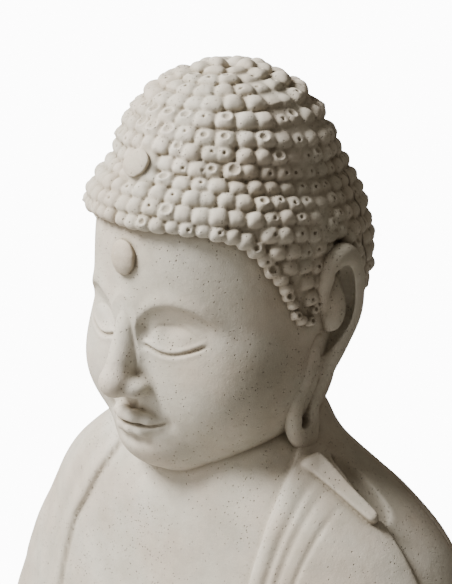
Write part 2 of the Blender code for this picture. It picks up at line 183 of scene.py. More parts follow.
def mound(centre, radii, power, tilt=0.0):
    """Oval in plan and fuller in section than an egg; its levels fall towards the back."""
    (cx, cy, cz), (a, b, c) = centre, radii

    def distance(x, y, z):
        round_ = np.sqrt(((x - cx) / a) ** 2 + ((y - cy) / b) ** 2) + 1e-6
        level = np.abs(z + tilt * y - cz) / c + 1e-6
        return ((round_ ** power + level ** power) ** (1 / power) - 1) * c
    room = np.array((a, b, c + tilt * b)) * 1.15
    return Shape(np.array(centre) - room, np.array(centre) + room, distance)


SIDE_ROUND, END_ROUND = 0.0022, 0.0052      # how soft a plank's edges are


def plank(a, b, across, wide_a, wide_b, thick):
    """A board between two points, narrowing from one end to the other."""
    a, b = np.array(a, float), np.array(b, float)
    reach = np.linalg.norm(b - a)
    u = (b - a) / reach
    v = np.array(across, float) - u * np.dot(across, u)
    v /= np.linalg.norm(v)
    w = np.cross(u, v)

    def distance(x, y, z):
        p = [x - a[0], y - a[1], z - a[2]]
        s, t, n = (row[0] * p[0] + row[1] * p[1] + row[2] * p[2] for row in (u, v, w))
        wide = wide_a + (wide_b - wide_a) * np.clip(s / reach, 0, 1)
        side = smooth_max(np.abs(t) - wide, np.abs(n) - thick, SIDE_ROUND)
        return smooth_max(side, np.abs(s - reach / 2) - reach / 2, END_ROUND)
    room = wide_a + thick
    return Shape(np.minimum(a, b) - room, np.maximum(a, b) + room, distance)


def loft(rows, power):
    """An upright body from rows of (z, half width, half depth, y of the centre)."""
    t = np.array(rows, float)
    profile = [curve(t[:, (0, i)]) for i in (1, 2, 3)]

    def distance(x, y, z):
        level = np.clip(z, t[0, 0], t[-1, 0])
        a, b, middle = (part(level).astype(np.float32) for part in profile)
        u, v = np.abs(x) / a, np.abs(y - middle) / b
        k = np.maximum((u ** power + v ** power) ** (1 / power), 1e-4)
        steep = np.sqrt((u / a) ** 2 + (v / b) ** 2) / k
        side = (k - 1) / np.maximum(steep, 1e-3)
        return np.maximum(side, np.maximum(t[0, 0] - z, z - t[-1, 0]))
    reach = (t[:, 1].max(), t[:, 2].max() + abs(t[:, 3]).max())
    return Shape((-reach[0], -reach[1], t[0, 0]), (reach[0], reach[1], t[-1, 0]), distance)


EDGES = [[np.insert((u, v), axis, end) for end in (0, 1)]       # a cell's, by their ends
         for axis in range(3) for v, u in np.ndindex(2, 2)]


class Clay:
    """A block of distances, negative inside the stone."""

    def __init__(self, low, high, cell):
        self.cell = cell * COARSE
        self.low = np.array(low, float)
        count = np.ceil((np.array(high) - self.low) / self.cell).astype(int) + 1
        self.axes = [(self.low[i] + self.cell * np.arange(count[i])).astype(np.float32)
                     for i in range(3)]
        self.field = np.full(count, 1, np.float32)

    def copy(self):
        twin = copy.copy(self)
        twin.field = self.field.copy()
        return twin

    def window(self, low=(-9, -9, -9), high=(9, 9, 9)):
        """The slices of a box, by default of all the block, and its x, y and z."""
        cut = []
        for axis, a, b in zip(self.axes, low, high):
            i, j = np.searchsorted(axis, (a, b))
            cut.append(slice(max(i - 1, 0), j + 1))
        x, y, z = (axis[s] for axis, s in zip(self.axes, cut))
        return tuple(cut), x[:, None, None], y[None, :, None], z[None, None, :]

    def add(self, shapes, blend=0.0, sign=1):
        """Join a shape, or a list of them, to the clay: sign -1 cuts them out."""
        pad = blend + 2 * self.cell
        for shape in shapes if isinstance(shapes, list) else [shapes]:
            cut, x, y, z = self.window(shape.low - pad, shape.high + pad)
            if x.size and y.size and z.size:
                gap = shape.distance(x, y, z)
                self.field[cut] = sign * smooth_min(sign * self.field[cut], gap, blend)

    def carve(self, shapes, blend=0.0):
        self.add(shapes, blend, -1)

    def swell(self, amount, *box):
        """Raise the surface by amount(x, y, z) inside a box."""
        cut, x, y, z = self.window(*box)
        self.field[cut] -= amount(x, y, z).astype(np.float32)

    def roughen(self, *waves):
        """Raise the surface by soft waves, each with its height, length and seed."""
        waves = [(height, unevenness(length, seed)) for height, length, seed in waves]
        self.swell(lambda x, y, z: sum(height * wave(x, y, z) for height, wave in waves))

    def limit(self, distance, blend=0.0):
        """Keep only where a distance, or the function that gives it, is negative."""
        if callable(distance):
            distance = distance(*self.window()[1:])
        self.field = smooth_max(self.field, distance, blend).astype(np.float32)

    def sample(self, points):
        """The field and its slope at points, between the grid's corners."""
        p = np.clip((points - self.low) / self.cell, 0, np.array(self.field.shape) - 1.001)
        i = p.astype(int)
        t = p - i
        value, slope = np.zeros(len(p)), np.zeros((len(p), 3))
        for corner in np.ndindex(2, 2, 2):
            f = self.field[tuple((i + corner).T)]
            w = [t[:, a] if corner[a] else 1 - t[:, a] for a in range(3)]
            value += f * w[0] * w[1] * w[2]
            for a in range(3):
                sign = 1 if corner[a] else -1
                slope[:, a] += sign * f * w[(a + 1) % 3] * w[(a + 2) % 3]
        return value, slope / self.cell

    def surface(self):
        """Points and quads of the zero surface: one point in each cell it crosses."""
        f = self.field
        inside = f < 0
        n = [s - 1 for s in f.shape]
        filled = np.zeros(n, np.int8)
        for i, j, k in np.ndindex(2, 2, 2):
            filled += inside[i:i + n[0], j:j + n[1], k:k + n[2]]
        active = (filled > 0) & (filled < 8)
        cells = np.argwhere(active)
        number = np.full(n, -1, np.int32)
        number[active] = np.arange(len(cells))
        total, hits = np.zeros((len(cells), 3)), np.zeros(len(cells))
        for a, b in EDGES:
            fa = f[tuple((cells + a).T)].astype(float)
            fb = f[tuple((cells + b).T)].astype(float)
            cross = (fa < 0) != (fb < 0)
            t = np.where(cross, fa / np.where(cross, fa - fb, 1), 0)
            total += np.where(cross[:, None], a + t[:, None] * (b - a), 0)
            hits += cross
        points = (cells + total / hits[:, None]) * self.cell + self.low
        quads = [self.walls(inside, number, axis) for axis in range(3)]
        return points, np.concatenate(quads)

    @staticmethod
    def walls(inside, number, axis):
        """The quads across the grid lines that run along one axis."""
        near, far = [slice(1, -1)] * 3, [slice(1, -1)] * 3
        near[axis], far[axis] = slice(0, -1), slice(1, None)
        flip = inside[tuple(near)] != inside[tuple(far)]
        start = inside[tuple(near)][flip]
        at = np.argwhere(flip) + 1
        at[:, axis] -= 1
        u, v = (axis + 1) % 3, (axis + 2) % 3
        ring = []
        for du, dv in ((-1, -1), (0, -1), (0, 0), (-1, 0)):
            cell = at.copy()
            cell[:, u] += du
            cell[:, v] += dv
            ring.append(number[tuple(cell.T)])
        ring = np.stack(ring, 1)
        ring[~start] = ring[~start][:, ::-1]
        return ring


def settle(clay, points, quads):
    """Even the points out along the surface and put them back on it."""
    a, b = quads.ravel(), np.roll(quads, -1, 1).ravel()
    share = np.bincount(a, minlength=len(points)) + np.bincount(b, minlength=len(points))
    for _ in range(EVENING_ROUNDS):
        mean = np.stack([np.bincount(a, points[b, i], len(points))
                         + np.bincount(b, points[a, i], len(points)) for i in range(3)], 1)
        points = points + 0.6 * (mean / share[:, None] - points)
        value, slope = clay.sample(points)
        steep = np.maximum((slope ** 2).sum(1), 0.25)
        push = np.clip(value / steep, -clay.cell / 2, clay.cell / 2)
        points = points - push[:, None] * slope
    return points


def build_mesh(name, points, faces):
    """A mesh from arrays of points and of equal-sided faces."""
    mesh = bpy.data.meshes.new(name)
    sides = faces.shape[1]
    mesh.vertices.add(len(points))
    mesh.vertices.foreach_set("co", points.astype(np.float32).ravel())
    mesh.loops.add(faces.size)
    mesh.loops.foreach_set("vertex_index", faces.astype(np.int32).ravel())
    mesh.polygons.add(len(faces))
    mesh.polygons.foreach_set("loop_start", np.arange(0, faces.size, sides, dtype=np.int32))
    mesh.update(calc_edges=True)
    mesh.shade_smooth()
    return mesh


def new_object(name, data):
    obj = bpy.data.objects.new(name, data)
    bpy.context.scene.collection.objects.link(obj)
    return obj


def piece(name, clay, replaces, place=None, mirror=False, slot="cast_stone"):
    """Turn clay into an object that stands for CAD nodes."""
    points, quads = clay.surface()
    points = settle(clay, points, quads)
    if mirror:
        points = points * (-1, 1, 1)
        quads = quads[:, ::-1]
    if place is not None:
        m = np.array(place)
        points = points @ m[:3, :3].T + m[:3, 3]
    obj = new_object(name, build_mesh(name, points, quads))
    obj.data.materials.append(MATERIALS[slot])
    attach(obj, "root")
    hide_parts(*replaces)


def shells(clay, behind):
    """The clay before and behind a plane, with half a joint taken off each."""
    front, back = clay.copy(), clay.copy()
    front.limit(lambda x, y, z: behind(x, y, z) + JOINT / 2)
    back.limit(lambda x, y, z: JOINT / 2 - behind(x, y, z))
    return front, back


def unevenness(scale, seed):
    """Soft waves about scale long, from -1 to 1, that make a surface look hand-finished."""
    rng = np.random.default_rng(seed)
    waves = rng.normal(size=(5, 3))
    waves *= 2 * math.pi / scale / np.linalg.norm(waves, axis=1)[:, None]
    shift = rng.uniform(0, 2 * math.pi, 5)

    def value(x, y, z):
        return sum(np.sin(w[0] * x + w[1] * y + w[2] * z + s) for w, s in zip(waves, shift)) / 3
    return value


# ---- places from the frame
CROWN = 0.157               # the crown over the head's centre
BOW = math.radians(3)       # how far the head is bowed
HEAD = Vector((0, 0, cad_box[1][2] - CROWN))
HEAD_PLACE = Matrix.Translation(HEAD) @ Matrix.Rotation(BOW, 4, "X")
HEAD_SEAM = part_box("head_back")[0].y        # a box is its lowest and its highest corner
TORSO_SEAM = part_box("torso_back")[0].y
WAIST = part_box("lap")[1].z
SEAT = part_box("lotus_upper")[1].z


# ---- materials
class Nodes:
    """Short forms for building one material's node tree."""

    def __init__(self, name):
        self.material = bpy.data.materials.new(name)
        self.material.use_nodes = True
        self.tree = self.material.node_tree
        self.shader = self.tree.nodes["Principled BSDF"]
        coords = self.tree.nodes.new("ShaderNodeTexCoord")
        self.place = coords.outputs["Object"]

    def add(self, kind, inputs=None, **settings):
        node = self.tree.nodes.new("ShaderNode" + kind)
        for key, value in settings.items():
            setattr(node, key, value)
        for key, value in (inputs or {}).items():
            self.feed(node.inputs[key], value)
        return node

    def feed(self, socket, value):
        if isinstance(value, bpy.types.NodeSocket):
            self.tree.links.new(value, socket)
        else:
            socket.default_value = value

    def noise(self, scale, detail=2.0, roughness=0.5):
        node = self.add("TexNoise", {"Vector": self.place, "Scale": scale,
                                               "Detail": detail, "Roughness": roughness})
        return node.outputs["Fac"]

    def spread(self, value, low, high, to_low=0.0, to_high=1.0):
        node = self.add("MapRange", {0: value, 1: low, 2: high, 3: to_low, 4: to_high})
        return node.outputs[0]

    def math(self, operation, a, b=0.0):
        return self.add("Math", {0: a, 1: b}, operation=operation).outputs[0]

    def mix(self, amount, a, b, blend="MIX"):
        node = self.add("Mix", data_type="RGBA", blend_type=blend)
        self.feed(node.inputs["Factor"], amount)
        self.feed(node.inputs[6], a)
        self.feed(node.inputs[7], b)
        return node.outputs[2]

    def pits(self, spacing, radius, share, shift, cluster):
        """1 in small round holes: one in some cells of a pattern, more where cluster is 1."""
        moved = self.add("VectorMath", {0: self.place, 1: (shift, shift, shift)},
                         operation="ADD").outputs[0]
        cells = self.add("TexVoronoi", {"Vector": moved, "Scale": 1 / spacing})
        pick = self.add("SeparateColor", {0: cells.outputs["Color"]})
        size = self.spread(pick.outputs[1], 0.0, 1.0, 0.45 * radius / spacing, radius / spacing)
        least = self.spread(cluster, 0.0, 1.0, 1 - 0.25 * share, 1 - share)
        chosen = self.math("GREATER_THAN", pick.outputs[0], least)
        depth = self.math("SUBTRACT", 1.0, self.math("DIVIDE", cells.outputs["Distance"], size))
        return self.math("MULTIPLY", self.math("MAXIMUM", depth, 0.0), chosen)

    def finish(self, colour, roughness, height=None, distance=0.001, strength=1.0):
        self.feed(self.shader.inputs["Base Color"], colour)
        self.feed(self.shader.inputs["Roughness"], roughness)
        if height is not None:
            bump = self.add("Bump", {"Height": height, "Distance": distance,
                                               "Strength": strength})
            self.feed(self.shader.inputs["Normal"], bump.outputs[0])
        return self.material


def cast_stone(name, light, dark, grain):
    """Dry-cast stone: mottled, sandy, with small air holes; painted shade darkens the holes,
    hollows and crevices, and sharp edges are lighter.
    """
    n = Nodes(name)
    mottle = n.spread(n.noise(14, 4, 0.6), 0.36, 0.66)
    colour = n.mix(mottle, (*dark, 1), (*light, 1))
    cloud = n.spread(n.noise(70, 3, 0.6), 0.4, 0.62, 0.95, 1.03)
    sand = n.spread(n.noise(1500, 2, 0.7), 0.3, 0.7, 1 - grain, 1 + grain)
    shade = n.math("MULTIPLY", cloud, sand)
    shade = n.add("CombineColor", {0: shade, 1: shade, 2: shade}).outputs[0]
    colour = n.mix(1.0, colour, shade, "MULTIPLY")
    tint = n.spread(n.noise(21, 3, 0.6), 0.4, 0.62)
    tint = n.mix(tint, (0.985, 1.0, 0.985, 1), (1.02, 0.985, 0.955, 1))
    colour = n.mix(1.0, colour, tint, "MULTIPLY")
    cluster = n.spread(n.noise(17, 2, 0.6), 0.42, 0.62)
    small = n.pits(0.0023, 0.00064, 0.9, 0.0, cluster)
    large = n.pits(0.0075, 0.00082, 0.55, 3.7, cluster)
    holes = n.math("MAXIMUM", small, large)
    # painted shade: the small air holes are darkened in colour, on top of their bump
    colour_and_painted_shade = n.mix(n.spread(holes, 0.0, 0.6, 0, 0.62), colour, (0.24, 0.2, 0.145, 1))
    # Pointiness, the surface's curvature: below, hollows and creases get painted shade and sharp
    # edges are made lighter in colour
    worn = n.add("NewGeometry").outputs["Pointiness"]
    painted_hollow_shade = n.spread(worn, 0.425, 0.499, 0.78, 0.0)
    colour_and_painted_shade = n.mix(painted_hollow_shade, colour_and_painted_shade, (0.25, 0.21, 0.155, 1))
    # painted shade: ambient occlusion darkens the colour where nearby surfaces crowd in
    near = n.add("AmbientOcclusion", {"Distance": 0.006}, samples=8)
    painted_occlusion_shade = n.spread(near.outputs["AO"], 0.52, 0.95, 0.78, 0.0)
    colour_and_painted_shade = n.mix(painted_occlusion_shade, colour_and_painted_shade, (0.27, 0.23, 0.17, 1))
    edge = n.spread(worn, 0.51, 0.58, 0.0, 0.3)
    colour_and_painted_shade = n.mix(edge, colour_and_painted_shade, (0.72, 0.68, 0.62, 1))
    rough = n.spread(mottle, 0.0, 1.0, 0.94, 0.86)
    fine = n.math("MULTIPLY", n.noise(1100, 3, 0.65), 0.16)
    waves = n.math("MULTIPLY", n.noise(160, 3, 0.6), 0.45)
    height = n.math("ADD", fine, waves)
    height = n.math("SUBTRACT", height, n.math("MULTIPLY", holes, 1.6))
    n.shader.inputs["Specular IOR Level"].default_value = 0.35
    return n.finish(colour_and_painted_shade, rough, height, 0.0009, 0.85)


def mortar(name):
    n = Nodes(name)
    speck = n.spread(n.noise(420, 4, 0.7), 0.35, 0.65)
    colour = n.mix(speck, (0.3, 0.27, 0.22, 1), (0.5, 0.46, 0.4, 1))
    return n.finish(colour, 0.95, n.noise(700, 4, 0.7), 0.0012, 0.9)


def stainless_steel(name):
    n = Nodes(name)
    brushed = n.add("Mapping", {"Vector": n.place, "Scale": (900, 900, 30)})
    lines = n.add("TexNoise", {"Vector": brushed.outputs[0], "Scale": 1, "Detail": 3})
    n.shader.inputs["Metallic"].default_value = 1.0
    colour = n.mix(lines.outputs["Fac"], (0.5, 0.5, 0.5, 1), (0.66, 0.66, 0.65, 1))
    return n.finish(colour, n.spread(lines.outputs["Fac"], 0.3, 0.7, 0.25, 0.42),
                    lines.outputs["Fac"], 0.0002, 0.5)


def rubber(name):
    n = Nodes(name)
    bloom = n.noise(220, 3, 0.6)
    colour = n.mix(bloom, (0.025, 0.025, 0.025, 1), (0.055, 0.052, 0.05, 1))
    return n.finish(colour, n.spread(bloom, 0.3, 0.7, 0.7, 0.85), n.noise(1300, 2), 0.0003, 0.6)


MATERIALS = {
    "cast_stone": cast_stone("cast_stone", (0.64, 0.6, 0.53), (0.52, 0.475, 0.4), 0.07),
    "cabochon_stone": cast_stone("cabochon_stone", (0.61, 0.56, 0.48), (0.48, 0.42, 0.34), 0.12),
    "mortar": mortar("mortar"),
    "stainless_steel": stainless_steel("stainless_steel"),
    "rubber": rubber("rubber"),
}


def dress_frame():
    """Better materials on the CAD nodes that stay."""
    for part in frame["record"]["subparts"]:
        node = frame["nodes"][part["node"]]
        node.data.materials.clear()
        node.data.materials.append(MATERIALS[part["material_slot"]])


# ---- the head, in its own frame
HEAD_LOW, HEAD_HIGH = (-0.113, -0.118, -0.128), (0.113, 0.118, 0.17)


def skull(clay):
    clay.add(egg(mm(0, 4, 40), mm(83, 90, 90)))
    clay.add(egg(mm(0, -10, -22), mm(80.5, 77, 74)), 0.03)


def face_mass(clay):
    """Skull, cheeks, jaw, chin and neck on classical thirds."""
    skull(clay)
    for side in (LEFT, RIGHT):
        clay.add(egg(mm(side * 38, -36, -42), mm(39, 43, 42)), 0.02)
        clay.add(limb(mm(side * 54, 0, -48), mm(side * 12, -54, -77), 0.021, 0.019), 0.03)
    clay.add(egg(mm(0, -66, -78), mm(20, 19, 16)), 0.02)
    clay.add(egg(mm(0, -28, -79), mm(46, 46, 19.5)), 0.018)
    clay.add(limb(mm(0, -5.5, -62), mm(0, -6.5, -125), 0.048, 0.0495), 0.018)


def nose(clay):
    clay.add(limb(mm(0, -83.5, 10), mm(0, -99.5, -32), 0.0064, 0.0086), 0.014)
    clay.add(egg(mm(0, -99.5, -35), mm(9.5, 9.2, 8)), 0.008)
    for side in (LEFT, RIGHT):
        clay.add(egg(mm(side * 11, -90.5, -38), mm(7.2, 9.2, 6.2)), 0.006)
        clay.carve(egg(mm(side * 6.2, -96, -46.2), mm(3.2, 4.8, 3)), 0.003)


def lips(clay):
    for side in (LEFT, RIGHT):
        upper = mm([(0, -89.5, -59.8, 4), (side * 5, -89.7, -59.2, 4.2),
                    (side * 14, -85.2, -60.8, 3.6), (side * 23.5, -78.2, -62.8, 1.6)])
        lower = mm([(0, -87.2, -69, 5), (side * 9, -86.2, -68.5, 4.7),
                    (side * 18.5, -81.5, -65.7, 2.6)])
        clay.add(strand(upper) + strand(lower), 0.0032)


def eyes(clay):
    for side in (LEFT, RIGHT):
        clay.add(egg(mm(side * 32.5, -64, -3.5), mm(19.5, 14, 12)), 0.0035)


BROW = curve(mm([(0, 0), (8, 4.5), (18, 15), (30, 20.5), (44, 19), (56, 11.5), (66, 0.5)]))
LID = curve(mm([(13, -8.5), (18, -9.8), (26, -12.2), (35, -12.6), (44, -10.2), (53, -6.2)]))
LID_FOLD = curve(mm([(15, -2), (22, 3.5), (32, 5), (42, 3.5), (52, -2)]))
MOUTH = curve(mm([(0, -64.2), (5, -63.6), (13, -64.5), (22, -63.2), (28, -61.5)]))


def face_lines(x, y, z):
    """Brows and eye sockets, as a change of height."""
    ax = np.abs(x)
    front = ramp(0.0, -0.04, y)
    brow_gap = z - BROW(ax)
    h = 0.0017 * bell(brow_gap / np.where(brow_gap > 0, 0.0062, 0.003)) * ramp(0.07, 0.052, ax)
    h = h - 0.005 * bell((ax - 0.032) / 0.02) * bell((z - 0.0035) / 0.011)
    h = h - 0.003 * bell((ax - 0.013) / 0.0055) * bell((z + 0.001) / 0.0085)
    return h * front


def fine_lines(x, y, z):
    """Lids, mouth line and its corners, philtrum and the hollow under the lips."""
    ax = np.abs(x)
    front = ramp(-0.02, -0.05, y)
    ends = ramp(0.0125, 0.017, ax) * ramp(0.056, 0.05, ax)
    lid_gap = z - LID(ax)
    h = (0.0009 * bell((lid_gap - 0.0024) / 0.002) - 0.0016 * bell(lid_gap / 0.0011)
         + 0.0004 * bell((lid_gap + 0.0026) / 0.0018)) * ends
    h = h - (0.0005 * bell((z - LID_FOLD(ax)) / 0.0011) * ramp(0.016, 0.022, ax)
             * ramp(0.054, 0.046, ax))
    mouth_gap = z - MOUTH(ax)
    h = h - 0.0017 * bell(mouth_gap / 0.0011) * ramp(0.0265, 0.022, ax)
    h = h - 0.0016 * bell((ax - 0.0265) / 0.004) * bell((z + 0.0618) / 0.005)
    h = h - 0.0009 * bell(ax / 0.0022) * bell((z + 0.0535) / 0.0045)
    h = h - 0.0022 * bell(ax / 0.016) * bell((z + 0.0765) / 0.0042)
    return h * front


def skin_clay():
    clay = Clay(HEAD_LOW, (HEAD_HIGH[0], HEAD_HIGH[1], 0.088), 1.0 * MM)
    face_mass(clay)
    clay.swell(face_lines, (-0.075, -0.118, -0.02), (0.075, 0.0, 0.04))
    eyes(clay)
    nose(clay)
    lips(clay)
    clay.swell(fine_lines, (-0.062, -0.118, -0.084), (0.062, -0.02, 0.012))
    clay.roughen((0.00022, 0.045, 3))
    clay.limit(lambda x, y, z: np.maximum(z - 0.084, -0.126 - z))
    return clay


# ---- hair: cap, rows and curls
DOME_CURL = (10.9 * MM, 10.2 * MM)      # width and height of a curl on the dome
BUN_CURL = (12.3 * MM, 11.4 * MM)       # the same on the bun
DOME_ROWS = 5
ROW_TILT = 0.15             # how much the rows fall towards the back
DOME = ((0, 0.0057, 0.043), (0.088, 0.0925, 0.0485), 3.0, 0.185)
BUN = ((0, 0.0048, 0.08), (0.0718, 0.0718, 0.072), 2.1)
NAPE = ((0, 0.02, -0.004), (0.068, 0.058, 0.054))
HAIRLINE = curve([  # degrees round from the face, height
    (0, 0.0752), (30, 0.0746), (45, 0.072), (56, 0.0657), (63, 0.0565), (69, 0.043),
    (75, 0.025), (79.5, 0.007), (82, 0.002), (85, 0.007), (88, 0.017), (91, 0.03),
    (94, 0.052), (108, 0.053), (118, 0.036), (128, -0.016), (145, -0.044), (180, -0.05)])
SIDEBURN_END = 84.0         # degrees round from the face
OVER_EAR, EAR_SPAN = 94, 17     # where the curls are worn flat, in degrees
CURL_DEPTH = 0.0051
JEWEL, JEWEL_OUT = Vector((0, -0.0718, 0.104)), (0, -0.82, 0.57)


def cap_clay():
    clay = Clay(HEAD_LOW, HEAD_HIGH, 1.05 * MM)
    skull(clay)
    clay.field -= 0.0008
    clay.add(egg(*NAPE), 0.02)
    clay.add(mound(*DOME), 0.006)
    clay.add(mound(*BUN), 0.002)
    return clay


def turn_about_head(x, y):
    """Degrees round the head from the middle of the face."""
    return np.degrees(np.arctan2(np.abs(x), -y))


def on_cap(clay, angles, level, tilt=ROW_TILT):
    """Points of the cap's surface at signed angles round a level, with their normals."""
    angles = np.radians(angles)
    tilt = tilt * ramp(0.15, 0.11, level)       # the rows close level round the crown
    out = np.stack([np.sin(angles), -np.cos(angles), tilt * np.cos(angles)], 1)
    start = np.stack([0 * angles, 0 * angles, level + 0 * angles], 1)
    near, far = np.zeros(len(angles)), np.full(len(angles), 0.112)
    for _ in range(16):
        middle = (near + far) / 2
        spots = start + out * middle[:, None]
        inside = clay.sample(spots)[0] < 0
        near, far = np.where(inside, middle, near), np.where(inside, far, middle)
    slope = clay.sample(spots)[1]
    return spots, slope / np.linalg.norm(slope, axis=1)[:, None]


def length_along(spots):
    return np.concatenate([[0], np.cumsum(np.linalg.norm(np.diff(spots, axis=0), axis=1))])


def hair_rows(clay):
    """(level, curl) of every row, measured down the side of the head from its crown."""
    levels = np.linspace(0.154, -0.065, 900)
    spots, _ = on_cap(clay, np.full(900, 40.0), levels)
    along = length_along(spots)
    hairline = np.interp(-(HAIRLINE(40.0) + 0.0045), -spots[:, 2], along)
    rows = []
    place = hairline
    while place > -0.3 * BUN_CURL[1]:
        curl = DOME_CURL if len(rows) < DOME_ROWS else BUN_CURL
        rows.append((max(place, 0.2 * MM), curl))
        place -= curl[1]
    place = hairline + DOME_CURL[1]
    while place < along[-1]:
        rows.append((place, DOME_CURL))
        place += DOME_CURL[1]
    return [(float(np.interp(place, along, levels)), curl) for place, curl in rows]


def ring_of_curls(clay, level, wide, index):
    angles = np.linspace(-180, 180, 241)
    along = length_along(on_cap(clay, angles, level)[0])
    count = max(round(along[-1] / wide), 1)
    steps = np.arange(count) + 0.5 * (index % 2) + RNG.uniform(-0.07, 0.07, count)
    steps = steps * along[-1] / count
    return on_cap(clay, np.interp(steps, along, angles), level)


def hairline_curls(clay):
    """Curls set just inside the hairline, growing smaller down the sideburns."""
    angles = np.linspace(-180, 180, 1441)
    spots, normals = on_cap(clay, angles, HAIRLINE(np.abs(angles)), tilt=0.0)
    taper = ramp(0.055, 0.005, spots[:, 2]) * (np.abs(angles) < SIDEBURN_END + 6)
    size = 0.88 - 0.34 * taper
    pace = np.concatenate([[0], np.cumsum(np.diff(length_along(spots)) / size[1:])])
    pace /= DOME_CURL[0]
    count = round(pace[-1])
    i = np.searchsorted(pace, (np.arange(count) + 0.5) * pace[-1] / count)
    tangent = spots[(i + 6) % 1441] - spots[i - 6]
    inward = np.cross(tangent, normals[i])
    inward /= np.linalg.norm(inward, axis=1)[:, None]
    return spots[i] + (0.42 * DOME_CURL[1] * size[i])[:, None] * inward, normals[i], size[i]


def curl_places(clay):
    """(point, normal, width, height, chance of an open centre) of every curl."""
    wide, tall = DOME_CURL
    places = []
    for p, n, size in zip(*hairline_curls(clay)):
        if all(np.linalg.norm(p - q[0]) > 0.8 * wide * size for q in places):
            places.append((p, n, wide * size, tall * size, 0.3))
    for index, (level, curl) in enumerate(hair_rows(clay)):
        spots, normals = ring_of_curls(clay, level, curl[0], index)
        edge = HAIRLINE(turn_about_head(spots[:, 0], spots[:, 1]))
        taken = np.array([q[0] for q in places])
        open_share = 0.4 if 4 <= index <= 6 else 0.1
        for p, n, low in zip(spots, normals, edge):
            if p[2] > low + 0.003 and np.linalg.norm(taken - p, axis=1).min() > 0.7 * curl[0]:
                places.append((p, n, *curl, open_share))
    return places


def add_curls(clay, places):
    """Close-set pillows in terraces: some pointed, some worn open, flatter over the ears."""
    for p, n, wide, tall, open_share in places:
        angle = float(turn_about_head(p[0], p[1]))
        worn = 0.92 * bell((angle - OVER_EAR) / EAR_SPAN) * ramp(0.02, 0.045, p[2])
        size = RNG.uniform(0.96, 1.06)
        down = np.array([0, 0, -1.0]) - n * -n[2]
        down /= max(np.linalg.norm(down), 1e-3)
        out = n - 0.42 * down
        out /= np.linalg.norm(out)
        across = np.cross(out, down)
        across /= np.linalg.norm(across)
        turn = np.stack([across, np.cross(across, out) * -1, out], 1)
        body = p + RNG.normal(0, 0.00045, 3) - n * (0.001 + 0.0029 * worn)
        half = np.array((0.595 * wide, 0.59 * tall, CURL_DEPTH)) * size
        clay.add(bead(body, half, turn, 3.2, 2.0), 0.0003)
        top = body + out * half[2]
        kind = RNG.random() + 0.35 * worn
        if kind < open_share:
            radius = RNG.uniform(0.0022, 0.0036) * wide / DOME_CURL[0]
            hole = top + down * RNG.uniform(-0.0004, 0.0014) + across * RNG.normal(0, 0.0008)
            lip = radius + 0.0012
            clay.add(egg(hole - out * 0.0012, (lip, lip, 0.002), turn), 0.001)
            clay.carve(egg(hole + out * 0.0006, (radius, radius, 0.0022), turn), 0.0004)
        elif kind < open_share + (0.5 if angle > 58 else 0.22):
            point = top - out * 0.0018 + down * RNG.uniform(0.0, 0.0012)
            clay.add(egg(point, (0.3 * wide, 0.28 * tall, 0.0023 * (1 - worn)), turn), 0.003)
        elif kind > 0.7:
            pit = top + down * RNG.uniform(0.001, 0.003) + across * RNG.normal(0, 0.0014)
            clay.carve(egg(pit, mm(1.2, 1.2, 1.6), turn), 0.0004)


def keep_above_hairline(clay):
    _, x, y, z = clay.window()
    clay.limit(HAIRLINE(turn_about_head(x, y)) - z)


def seam(x, y, z):
    """Distance behind the plane on which the head's two shells meet."""
    return math.cos(BOW) * y - math.sin(BOW) * z - HEAD_SEAM


def fin(x, y, z):
    """The thin raised line that the mould leaves on its parting."""
    gap = seam(x, y, z)
    broken = 0.5 + 0.5 * np.sin(z * 310 + x * 45) * np.sin(z * 87)
    return 0.0008 * bell(gap / 0.0011) * (0.35 + 0.65 * broken)


def build_head():
    skin = skin_clay()
    cap = cap_clay()
    places = curl_places(cap)
    keep_above_hairline(cap)
    add_curls(cap, places)
    cap.add(egg(JEWEL - Vector(JEWEL_OUT).normalized() * 0.0048, (0.0128, 0.0118, 0.0058),
                ((1, 0, 0), (0, 0.571, -0.821), (0, 0.821, 0.571))), 0.003)
    cap.swell(fin)
    for name, clay in (("face", skin), ("curls", cap)):
        front, back = shells(clay, seam)
        piece(f"{name}_front", front, ["head_front"], HEAD_PLACE)
        piece(f"{name}_back", back, ["head_back"], HEAD_PLACE)


# ---- ears and set stones
EAR_LEAN = curve(mm([(-90, -12.5), (-45, -10), (0, -4.5), (45, -1)]))
EAR_SWEEP = curve(mm([(-85, -29), (-50, -26), (-25, -11), (0, 0)]))
EAR_RISE = 1.12             # the ear's height over that of its outline's points


def ear_point(out, y, z):
    z = z * EAR_RISE
    return (out + float(EAR_LEAN(z)), y + float(EAR_SWEEP(z)), z + 0.002)


def ear_line(*rows):
    """A smooth strand through rows of (out, y, z, radius) in millimetres."""
    return smooth_strand(np.array([(*ear_point(*row[:3]), row[3]) for row in mm(rows)]))


